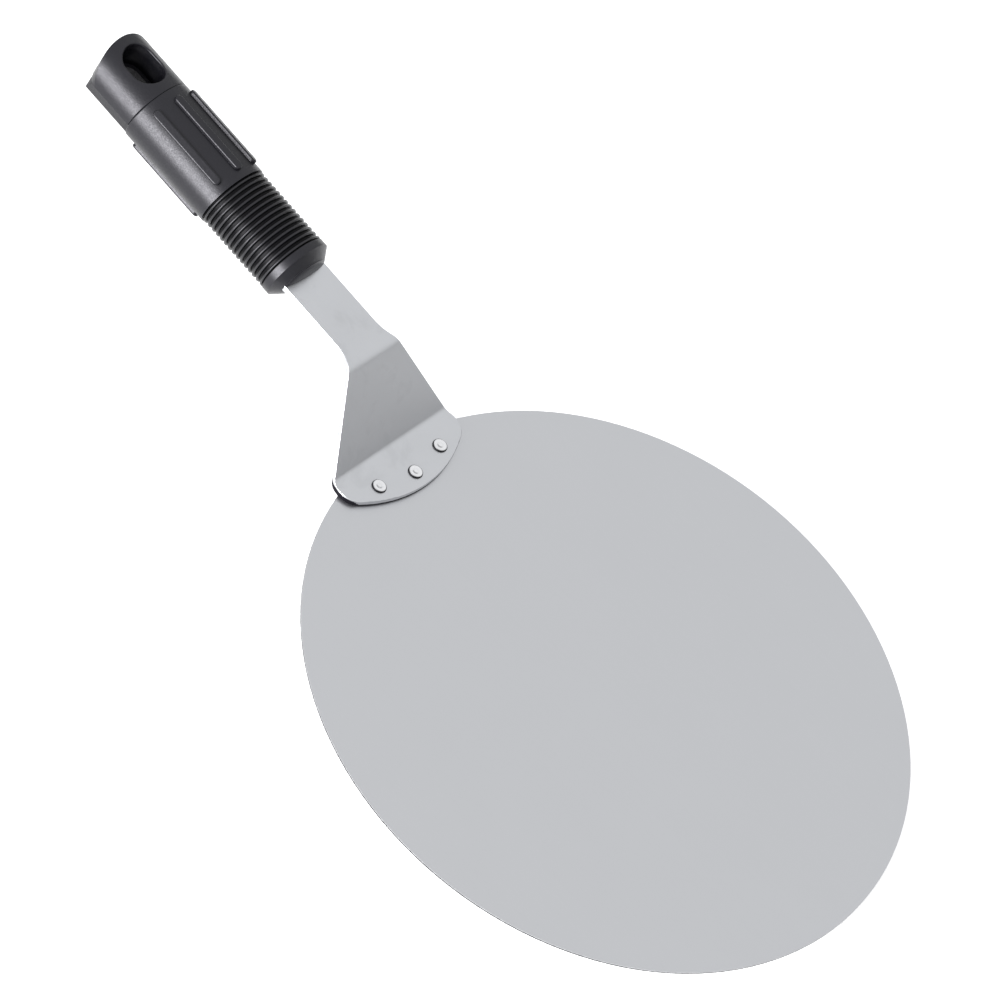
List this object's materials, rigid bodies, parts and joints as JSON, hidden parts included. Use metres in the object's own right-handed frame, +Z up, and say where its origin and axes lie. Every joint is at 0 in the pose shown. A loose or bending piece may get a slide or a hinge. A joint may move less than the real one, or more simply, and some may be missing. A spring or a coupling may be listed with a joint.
{
  "type": "pizza peel",
  "caption": "Flat round steel peel on a bent, riveted shank with a moulded grip that has raised ribs, soft rings and a hanging hole.",
  "frame": {"origin": "centre of the blade's underside", "axes": "+X from the handle to the blade, +Y across, +Z up"},
  "size_m": [0.4361, 0.254, 0.0566],
  "materials": {
    "blade_steel": "even satin stainless sheet, very fine grain",
    "shank_steel": "satin stamped stainless steel, tumbled edges",
    "rivet_steel": "bright pressed rivet heads",
    "handle_plastic": "black moulded plastic with a fine matt texture",
    "ring_rubber": "black soft rubber rings, slightly shiny crests"
  },
  "bodies": {
    "root": {"blade": "blade_steel", "shank": "shank_steel", "rivet_left": "rivet_steel", "rivet_middle": "rivet_steel", "rivet_right": "rivet_steel", "core_upper": "handle_plastic", "core_lower": "handle_plastic", "ribbed_grip": "handle_plastic", "ringed_grip": "ring_rubber", "nose_collar": "handle_plastic"}
  },
  "joints": []
}
